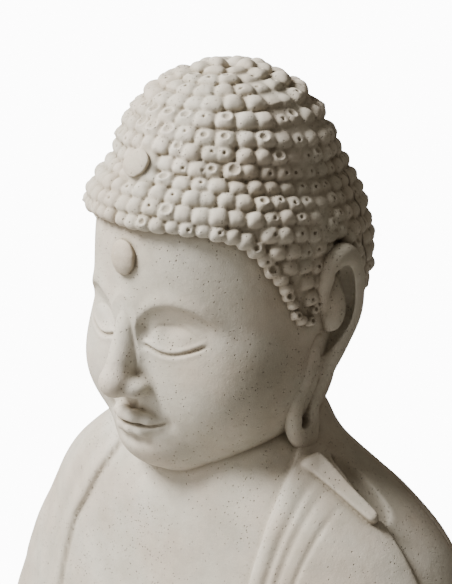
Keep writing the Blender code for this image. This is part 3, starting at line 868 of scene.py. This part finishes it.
def ear_clay():
    """The figure's left ear: rim, inner fold, bowl and a long pierced lobe."""
    clay = Clay((0.056, -0.03, -0.104), (0.113, 0.05, 0.06), 0.85 * MM)
    clay.add(egg(ear_point(0.0815, 0.019, 0.006), mm(7.5, 16.5, 30)))
    clay.add(ear_line(
        (85, 6, 2, 3.2), (88.5, 1, 15, 4.6), (90.5, 5.5, 28.5, 5.4), (91.5, 15, 34.5, 6),
        (91.2, 24, 29.5, 6.4), (91, 28.5, 16, 6.4), (91, 28.5, -2, 6.4), (90.8, 27.5, -18, 6.2),
        (90, 26, -33, 6), (89.2, 24.5, -52, 5.6), (88.5, 25, -70, 5.2), (87, 27, -84, 4)), 0.004)
    clay.add(ear_line(
        (87, 27, -84, 4), (88, 16.5, -71, 5.6), (89, 9.5, -52, 5.6), (88.5, 9.5, -33, 5.6),
        (86.5, 7, -14, 4.8)), 0.005)
    clay.add(egg(ear_point(0.0878, 0.014, 0.0035), mm(8.4, 9.8, 20.5)), 0.003)
    clay.add(egg(ear_point(0.0855, 0.019, -0.029), mm(7, 10.5, 12)), 0.004)
    clay.carve(ear_line(
        (94, 8, 26.2, 3.4), (93.5, 16.5, 25.8, 4.2), (92.5, 21.8, 15, 4.6), (91.5, 22.5, 0, 4.9),
        (90.8, 20, -12, 5), (90, 13.5, -20, 4.6)), 0.0015)
    clay.add(egg(ear_point(0.0885, 0.0185, -0.058), mm(5.2, 10, 21)), 0.004)
    for z in np.linspace(-0.037, -0.061, 7):
        ends = ear_point(0.07, 0.016, z), ear_point(0.11, 0.016, z)
        clay.carve(limb(*ends, 0.0041, 0.0041), 0.001)
    clay.roughen((0.00018, 0.02, 5))
    return clay


def set_stone(name, centre, out, half_x, half_z, proud):
    """An oval cabochon, fuller below its middle, seated in the head."""
    size = max(half_x, half_z) + proud + 0.004
    clay = Clay((-size,) * 3, (size,) * 3, 0.55 * MM)
    clay.add(bead((0, 0, 0), (half_x, half_z, proud), np.identity(3), 2.0))
    clay.swell(lambda x, y, z: 0.0004 * bell((z - 0.35 * proud) / (0.25 * proud))
               + 0.0001 * unevenness(0.006, 9)(x, y, z))
    turn = Vector(out).to_track_quat("Z", "Y").to_matrix().to_4x4()
    place = HEAD_PLACE @ Matrix.Translation(centre) @ turn
    piece(name, clay, [name], place, slot="cabochon_stone")


def build_ears_and_stones():
    ear = ear_clay()
    piece("left_ear_sculpted", ear, ["left_ear"], HEAD_PLACE)
    piece("right_ear_sculpted", ear, ["right_ear"], HEAD_PLACE, mirror=True)
    set_stone("urna", (0, -0.0862, 0.0465), (0, -1, 0.12), 0.0098, 0.0108, 0.0056)
    set_stone("ushnisha_jewel", JEWEL, JEWEL_OUT, 0.0098, 0.0088, 0.0042)


# ---- torso and sleeves
TORSO = mm([  # z, half width, half depth, y of the middle
    (283, 200, 104, 18), (340, 214, 106, 19), (400, 219, 108, 20),
    (482, 212, 106, 21), (544, 200, 101, 22), (573, 190, 97, 22),
    (607, 174, 91, 21), (630, 158, 86, 18), (650, 138, 79, 13),
    (665, 119, 71, 9), (685, 92, 60, 5), (712, 64, 51, 6)])
EDGE_RIGHT = curve(mm([
    (398, -16), (404, -42), (418, -65), (440, -82), (480, -97), (530, -103), (564, -101),
    (584, -98), (605, -92), (628, -77), (652, -62), (674, -48), (700, -40), (720, -38)]))
EDGE_LEFT = curve(mm([
    (398, -16), (404, 8), (418, 28), (440, 42), (480, 55), (530, 66), (580, 77), (624, 84.5),
    (646, 88), (669, 88), (686, 84), (700, 76), (720, 70)]))
PLEATS = [  # offset in metres, depth and width in millimetres
    (0.0125, 1.5, 2.4), (0.0197, 1.2, 2.4), (0.0302, 1.1, 1.7)]
LOOSE = 2.0 * MM            # how fine the body is sculpted


def under_opening(x, y, z):
    """Positive inside the robe's open front and round the neck, negative under cloth."""
    front = np.minimum(np.minimum(x - EDGE_RIGHT(z), EDGE_LEFT(z) - x), 0.012 - y)
    front = np.minimum(front, z - 0.398)
    neck = 1 - np.sqrt((x / 0.064) ** 2 + ((y - 0.006) / 0.056) ** 2)
    neck = np.minimum(neck * 0.056, z - 0.64)
    return smooth_max(front, neck, 0.01)


def pleats(x, y, z):
    """Grooves that follow the left edge of the robe down the chest."""
    across = x - EDGE_LEFT(z)
    strength = ramp(0.02, 0.0, y) * ramp(0.4, 0.47, z)
    spread = 0.7 + 0.3 * ramp(0.42, 0.62, z)
    depth = sum(deep * MM * bell((across - off * spread) / (wide * MM))
                for off, deep, wide in PLEATS)
    ridge = 0.0012 * bell((across - 0.005) / 0.004)
    return (ridge - depth) * strength


def folded(t):
    """Round-backed folds a unit apart, from -1 in the narrow valleys to 1 on the backs."""
    return 2 * np.sqrt(np.abs(np.sin(math.pi * t)) + 0.02) - 1.1


def broad_folds(x, y, z):
    """Soft folds: beside the right edge, and round the body from the left shoulder."""
    beside = EDGE_RIGHT(z) - x
    front = ramp(0.045, 0.005, y) * ramp(0.4, 0.45, z) * ramp(0.7, 0.66, z)
    h = (0.001 * bell((beside - 0.007) / 0.005) - 0.0009 * bell((beside - 0.02) / 0.006)
         + 0.0008 * bell((beside - 0.034) / 0.008)
         - 0.0008 * bell((beside - 0.054) / 0.007)) * front
    fall = np.hypot((x - 0.165) * 0.9, z - 0.705)
    turn = np.arctan2(x - 0.165, 0.705 - z)
    sweep = folded(fall / 0.046 + 0.3 * np.sin(turn * 2.0))
    behind = ramp(0.03, 0.08, y) * ramp(0.05, 0.12, fall) * ramp(0.29, 0.33, z)
    low = ramp(0.44, 0.38, z) * ramp(0.285, 0.3, z) * ramp(0.05, 0.02, y)
    return h + 0.0016 * sweep * behind + 0.0013 * sweep * low


def sleeve_folds(x, y, z):
    """Creases that ring the bent elbow and run down the hanging sleeve."""
    ax = np.abs(x)
    elbow = np.hypot(y + 0.07, (z - 0.44) * 0.85)
    arm = ramp(0.16, 0.195, ax) * ramp(0.56, 0.48, z)
    h = 0.002 * folded(elbow / 0.033 + 1.2 * ax) * arm * ramp(0.035, 0.07, elbow)
    fore = ramp(-0.02, -0.06, y) * ramp(0.284, 0.295, z) * ramp(0.4, 0.36, z)
    drop = folded((ax * 0.75 - y * 0.66 + (z - 0.32) * 0.9) / 0.036)
    return h + 0.0016 * drop * fore * ramp(0.072, 0.085, ax)


def torso_clay():
    clay = Clay((-0.266, -0.182, 0.2815), (0.266, 0.15, 0.722), LOOSE)
    body = loft(TORSO, 2.2)
    _, x, y, z = clay.window()
    bare = under_opening(x, y, z)
    skin = body.distance(x, y, z)
    thick = 0.002 + 0.0022 * ramp(-0.03, 0.06, x)
    sunk = thick * ramp(-0.001, 0.0022 + 0.6 * (thick - 0.002), bare)
    clay.field = (skin + sunk).astype(np.float32)
    line = 0.001 * bell((bare - 0.0008) / 0.0014) * ramp(0.0, -0.03, x)
    clay.field += (line - 0.0006 * bell((bare + 0.004) / 0.003)).astype(np.float32)
    clay.swell(pleats)
    clay.swell(broad_folds)
    for side in (LEFT, RIGHT):
        clay.add(limb(mm(side * 152, 16, 545), mm(side * 194, -4, 395), 0.044, 0.051), 0.024)
        clay.add(limb(mm(side * 196, -6, 378), mm(side * 90, -130, 325), 0.052, 0.035), 0.02)
        clay.add(limb(mm(side * 200, -4, 335), mm(side * 98, -122, 312), 0.049, 0.029), 0.014)
    clay.swell(sleeve_folds)
    clay.roughen((0.0007, 0.12, 21), (0.00025, 0.035, 22))
    return clay


def cuff_opening(clay):
    """The sleeves' open ends: cut square, with a hollow behind the cloth's hem."""
    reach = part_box("left_hand")[1].x
    _, x, y, z = clay.window()
    space = np.maximum(np.maximum(np.abs(x) - reach, y + 0.088), z - 0.42)
    clay.limit(-space, 0.004)
    for side in (LEFT, RIGHT):
        clay.carve(limb(mm(side * 60, -136, 312), mm(side * 92, -128, 318), 0.026, 0.024), 0.003)


def build_torso():
    clay = torso_clay()
    cuff_opening(clay)
    clay.carve(FLAP_HOLLOW, 0.0014)
    clay.limit(lambda x, y, z: WAIST + 0.0012 - z)
    clay.carve(limb(mm(0, 6, 600), mm(0, 6, 760), 0.044, 0.044), 0.002)
    front, back = shells(clay, lambda x, y, z: y - TORSO_SEAM)
    piece("robed_torso_front", front, ["torso_front"])
    piece("robed_torso_back", back, ["torso_back"])


DRAPE_EDGE = mm([  # x, z of the drape's outer edge
    (80, 698.5), (89, 693.5), (97, 688), (115, 674.5), (134, 659.2), (146, 649.8), (156, 640.3),
    (164.5, 630.6), (175, 613), (183, 592), (188, 560)])
FLAP = mm([(88.6, -11.7, 689.2), (138.4, -0.4, 656.6)])     # its two ends
FLAP_ACROSS = (0.115, 0.867, 0.492)
FLAP_HEEL = mm(90.8, -12.5, 685.6)      # the fuller lower corner of its inner end
BEHIND_FLAP = mm([  # x, y, z, radius of the hollow's line
    (95, 11.5, 682, 3.8), (104.5, 14.2, 674.5, 5.6), (113.5, 15.2, 667.4, 6.4),
    (121.1, 15.6, 661.8, 6.5), (127.5, 14.5, 657.4, 6.2), (132.2, 10.8, 654.2, 5)])
UNDER_FLAP = BEHIND_FLAP + mm(-3.4, -4.5, 0.4, 0)
FLAP_HOLLOW = smooth_strand(BEHIND_FLAP) + smooth_strand(UNDER_FLAP)


def build_drape():
    """The end of the robe thrown over the left shoulder, with its turned-back flap."""
    clay = Clay((0.07, -0.1, 0.556), (0.205, 0.04, 0.708), 1.2 * MM)
    body = loft(TORSO, 2.2)
    _, x, y, z = clay.window()
    edge = curve(DRAPE_EDGE)
    fall = (edge(x + 0.001) - edge(x - 0.001)) / 0.002
    past = (z - edge(x)) / np.sqrt(1 + fall * fall)
    inside = x - EDGE_LEFT(z)
    thick = (0.0012 + 0.0026 * ramp(0.0, 0.012, inside)) * ramp(0.558, 0.6, z)
    surface = body.distance(x, y, z)
    fade = ramp(-0.002, -0.014, past)
    clay.field = (surface - thick - pleats(x, y, z) * fade).astype(np.float32)
    clay.limit(np.maximum(past, 0.001 - inside), 0.0022)
    clay.limit(y - 0.008, 0.003)
    clay.carve(FLAP_HOLLOW, 0.002)
    clay.add(plank(*FLAP, FLAP_ACROSS, 0.0074, 0.0034, 0.0046), 0.0008)
    clay.add(egg(FLAP_HEEL, mm(6.2, 6.4, 5.2)), 0.0034)
    clay.roughen((0.0003, 0.03, 31))
    clay.limit(np.maximum(-0.005 - surface, 0.56 - z))
    piece("shoulder_drape_folded", clay, ["shoulder_drape"])


# ---- hands, lap and robe hem
FINGERS = mm([(48, 7.4), (54, 7.6), (50, 7.4), (40, 6.6)])      # length, radius


def hand_clay(side, z, front):
    """One open hand lying palm up, its fingers across the lap and its thumb raised."""
    clay = Clay((-0.094, -0.205, z - 0.02), (0.094, -0.098, 0.362), 1.1 * MM)
    clay.add(limb((side * 0.088, -0.135, z + 0.01), (side * 0.05, -0.141 + front, z + 0.002),
                  0.0205, 0.0185))
    clay.add(egg((side * 0.036, -0.142 + front, z), mm(33, 29, 12.5)), 0.012)
    clay.add(egg((side * 0.044, -0.164 + front, z + 0.006), mm(20, 12, 12.5)), 0.008)
    clay.add(egg((side * 0.044, -0.121 + front, z + 0.003), mm(23, 10, 11.5)), 0.008)
    clay.carve(egg((side * 0.032, -0.143 + front, z + 0.0165), mm(19, 13, 8)), 0.006)
    for number, (reach, r) in enumerate(FINGERS):
        y = -0.1665 + 0.015 * number + front
        knuckle, tip = side * 0.01, side * (0.01 - reach)
        middle = (knuckle + tip) / 2
        finger = [(knuckle, y, z + 0.001, r + 0.0004), (middle, y + 0.0006, z + 0.0026, r),
                  (tip, y + 0.0016, z + 0.0016, r - 0.001)]
        clay.add(strand(finger), 0.0022)
        clay.swell(lambda x, yy, zz, at=middle, row=y: -0.0005 * bell((x - at) / 0.0012)
                   * bell((yy - row) / 0.006) * ramp(z, z + 0.004, zz))
    thumb = [(side * 0.05, -0.166, z + 0.008, 0.011), (side * 0.032, -0.174, z + 0.026, 0.0086),
             (side * 0.018, -0.178, 0.337, 0.0074), (side * 0.0072, -0.178, 0.344, 0.0064)]
    clay.add(strand(thumb), 0.004)
    clay.roughen((0.00025, 0.02, 41))
    clay.limit(lambda x, y, z: np.abs(x) - 0.091)
    return clay


def build_hands():
    for name, side, z, front in (("left", LEFT, 0.2945, 0.0), ("right", RIGHT, 0.3125, 0.002)):
        piece(f"{name}_hand_sculpted", hand_clay(side, z, front), [f"{name}_hand"])


def lap_folds(x, y, z):
    """Curved folds that leave each knee and meet in the middle, and the hem between."""
    ax = np.abs(x)
    reach = np.hypot(ax - 0.345, (y - 0.04) * 0.8)
    wave = folded(reach / 0.036 + 0.35 * ramp(-0.05, -0.22, y) + 0.12 * np.sin(z / 0.02))
    fade = ramp(0.09, 0.15, reach) * ramp(0.4, 0.33, reach)
    h = 0.0024 * wave * fade * ramp(0.15, 0.175, z)
    fan = np.arctan2(ax, -(y + 0.06))
    hem = (ramp(0.07, 0.1, np.hypot(ax, y + 0.06)) * ramp(0.085, 0.065, ax)
           * ramp(0.215, 0.185, z))
    return h * ramp(0.02, 0.06, ax) + 0.003 * folded(fan * 4.2 + 0.25) * hem


def build_lap():
    low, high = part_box("lap")
    clay = Clay((low.x - 0.012, low.y - 0.02, SEAT - 0.004),
                (high.x + 0.012, high.y + 0.02, WAIST + 0.006), LOOSE)
    clay.add(loft([(0.15, 0.242, 0.137, 0.02), (0.22, 0.226, 0.126, 0.018),
                   (WAIST, 0.204, 0.106, 0.016)], 2.2))
    for side in (LEFT, RIGHT):
        clay.add(limb(mm(side * 130, 50, 213), mm(side * 266, -75, 203), 0.07, 0.07), 0.03)
        clay.add(limb(mm(side * 260, -102, 196), mm(side * -20, -172, 190), 0.06, 0.05), 0.028)
        clay.add(egg(mm(side * 85, -118, 225), mm(85, 75, 48)), 0.03)
    clay.add(egg(mm(0, -185, 158), mm(86, 58, 22)), 0.014)
    clay.swell(lap_folds)
    clay.roughen((0.0009, 0.11, 51), (0.0003, 0.035, 52))
    clay.limit(lambda x, y, z: np.maximum(SEAT + 0.0032 - z, z - WAIST))
    piece("crossed_legs_robed", clay, ["lap"])


# ---- lotus seat and plinth
PETALS = 32


def oval_gap(x, y, half_x, half_y):
    """Distance outside an upright oval wall."""
    k = np.maximum(np.hypot(x / half_x, y / half_y), 1e-4)
    steep = np.hypot(x / half_x ** 2, y / half_y ** 2) / k
    return (k - 1) / np.maximum(steep, 1e-3)


def turns_round_oval(x, y, half_x, half_y):
    """How many petals along an oval each direction lies, by length along its wall."""
    angle = np.linspace(-math.pi, math.pi, 1441)
    wall = np.stack([half_x * np.cos(angle), half_y * np.sin(angle)], 1)
    along = length_along(wall)
    here = np.arctan2(y / half_y, x / half_x)
    return np.interp(here, angle, along * PETALS / along[-1])


def petal(across, up, full):
    """Fullness of a petal with round shoulders and a small point: 0 past its outline."""
    half = 0.49 * (1 - np.clip(up / full, 0, 1) ** 3.4) ** 0.85 * (0.82 + 0.18 * ramp(0, 0.4, up))
    t = np.abs(across) / np.maximum(half, 1e-3)
    return np.clip(1 - t ** 2.6, 0, 1) ** 0.5 * (up < full)


def lotus_row(name, wall, flare, upward):
    """A ring of petals over a second ring that shows between them."""
    bottom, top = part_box(name)
    low, high = bottom.z, top.z
    half_x, half_y = wall
    clay = Clay((-half_x - 0.06, -half_y - 0.06, low - 0.006),
                (half_x + 0.06, half_y + 0.06, high + 0.006), LOOSE)
    _, x, y, z = clay.window()
    up = (z - low) / (high - low) if upward else (high - z) / (high - low)
    place = turns_round_oval(x, y, half_x, half_y)
    front = (place % 1) - 0.5
    back = ((place + 0.5) % 1) - 0.5
    body = oval_gap(x, y, half_x, half_y)
    rise = np.clip(up, 0, 1)
    fullness = petal(front, up, 0.93)
    swelling = 0.0175 * fullness * (0.45 + 0.55 * np.sin(math.pi * (0.12 + 0.8 * rise)))
    rim = 0.0013 * bell((fullness - 0.4) / 0.15) + 0.0012 * bell(front / 0.03) * (fullness > 0)
    tip = 0.004 * ramp(0.7, 0.95, rise) * bell(front / 0.12) * (up < 0.93)
    behind = 0.007 * petal(back, up, 1.1)
    bulge = np.maximum(swelling + rim + tip, behind)
    clay.field = (body - flare * rise ** 1.4 - bulge).astype(np.float32)
    clay.limit(np.maximum(low - z, z - high), 0.005)
    clay.roughen((0.0004, 0.05, 61))
    clay.limit(np.maximum(low - z, z - high))
    clay.carve(limb((0, 0.006, low - 0.02), (0, 0.006, high + 0.02), 0.008, 0.008))
    piece(f"{name}_petals", clay, [name])


def build_lotus():
    lotus_row("lotus_lower", (0.334, 0.246), 0.02, False)
    lotus_row("lotus_upper", (0.318, 0.232), 0.028, True)


def build_plinth():
    bottom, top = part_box("plinth")
    clay = Clay((bottom.x - 0.006, bottom.y - 0.006, bottom.z - 0.006),
                (top.x + 0.006, top.y + 0.006, top.z + 0.006), LOOSE)
    _, x, y, z = clay.window()
    level = (bottom.z + top.z) / 2
    wall = oval_gap(x, y, top.x, top.y)
    ends = np.abs(z - level) - (top.z - bottom.z) / 2
    clay.field = smooth_max(wall, ends, 0.016).astype(np.float32)
    clay.swell(lambda x, y, z: -0.0014 * bell((z - level - 0.009) / 0.0022))
    clay.carve(limb(mm(0, 6, -50), mm(0, 6, 27), 0.028, 0.028))
    wave = unevenness(0.09, 71)
    clay.limit(ends)
    clay.swell(lambda x, y, z: -0.0004 * (1 + wave(x, y, z)) * ramp(0.0, 0.003, top.z - z))
    piece("plinth_rounded", clay, ["plinth"])


# ---- camera, light and floor
VIEW_TURN, VIEW_LIFT = 46, 17       # degrees
VIEW_DISTANCE = 1.3
VIEW_HEIGHT = 0.387         # height of the view at the head
SENSOR = 0.036
LIGHT_DISTANCE = 1.9
SEEN_STRENGTH, FILL_STRENGTH = 12.0, 0.17


def face_the_head(name, data, turn, lift, distance):
    """A camera or lamp at a turn and a lift, in degrees, aimed at the head."""
    turn, lift = math.radians(turn), math.radians(lift)
    back = Vector((math.sin(turn) * math.cos(lift), -math.cos(turn) * math.cos(lift),
                   math.sin(lift)))
    thing = new_object(name, data)
    thing.location = HEAD + back * distance
    thing.rotation_mode = "QUATERNION"
    thing.rotation_quaternion = (-back).to_track_quat("-Z", "Y")
    return thing


def build_camera():
    data = bpy.data.cameras.new("camera")
    data.lens = 1000 * SENSOR * VIEW_DISTANCE / VIEW_HEIGHT
    data.clip_start = 0.05
    camera = face_the_head("camera", data, VIEW_TURN, VIEW_LIFT, VIEW_DISTANCE)
    bpy.context.scene.camera = camera


def soft_light(name, turn, lift, size, power, colour):
    """A square panel that faces the head."""
    data = bpy.data.lights.new(name, "AREA")
    data.size, data.energy, data.color = size, power, colour
    face_the_head(name, data, turn, lift, LIGHT_DISTANCE)


def background(tree, colour, strength):
    node = tree.nodes.new("ShaderNodeBackground")
    node.inputs["Color"].default_value = colour
    node.inputs["Strength"].default_value = strength
    return node.outputs[0]


def build_world():
    """White to the eye, and a dim warm fill to the stone."""
    world = bpy.data.worlds.new("studio")
    world.use_nodes = True
    bpy.context.scene.world = world
    tree = world.node_tree
    tree.nodes.clear()
    seen = background(tree, (1, 1, 1, 1), SEEN_STRENGTH)
    fill = background(tree, (1.0, 0.9, 0.74, 1), FILL_STRENGTH)
    path = tree.nodes.new("ShaderNodeLightPath")
    mix = tree.nodes.new("ShaderNodeMixShader")
    out = tree.nodes.new("ShaderNodeOutputWorld")
    tree.links.new(path.outputs["Is Camera Ray"], mix.inputs[0])
    tree.links.new(fill, mix.inputs[1])
    tree.links.new(seen, mix.inputs[2])
    tree.links.new(mix.outputs[0], out.inputs["Surface"])


FLOOR_RADIUS, FLOOR_SIDES = 0.98, 96


def build_floor():
    """A pale disc that fades out at its edge."""
    turns = np.linspace(0, 2 * math.pi, FLOOR_SIDES + 1)[:-1]
    rim = np.stack([np.cos(turns), np.sin(turns), 0 * turns], 1) * FLOOR_RADIUS
    points = np.concatenate([rim, [(0, 0, 0)]])
    step = np.arange(FLOOR_SIDES)
    faces = np.stack([step, (step + 1) % FLOOR_SIDES, 0 * step + FLOOR_SIDES], 1)
    mesh = build_mesh("floor", points, faces)
    floor = new_object("floor", mesh)
    n = Nodes("floor")
    away = n.add("VectorMath", {0: n.place}, operation="LENGTH").outputs["Value"]
    n.feed(n.shader.inputs["Alpha"], n.spread(away, 0.55 * FLOOR_RADIUS, FLOOR_RADIUS, 1.0, 0.0))
    grain = n.spread(n.noise(60, 3), 0.3, 0.7, 0.0, 1.0)
    colour = n.mix(grain, (0.84, 0.83, 0.81, 1), (0.87, 0.86, 0.84, 1))
    mesh.materials.append(n.finish(colour, 0.9))


dress_frame()
build_head()
build_ears_and_stones()
build_torso()
build_drape()
build_hands()
build_lap()
build_lotus()
build_plinth()
build_camera()
soft_light("key", -34, 47, 0.75, 103, (1.0, 0.975, 0.94))
soft_light("bounce", -20, -2, 1.6, 18, (1.0, 0.96, 0.91))
build_world()
build_floor()
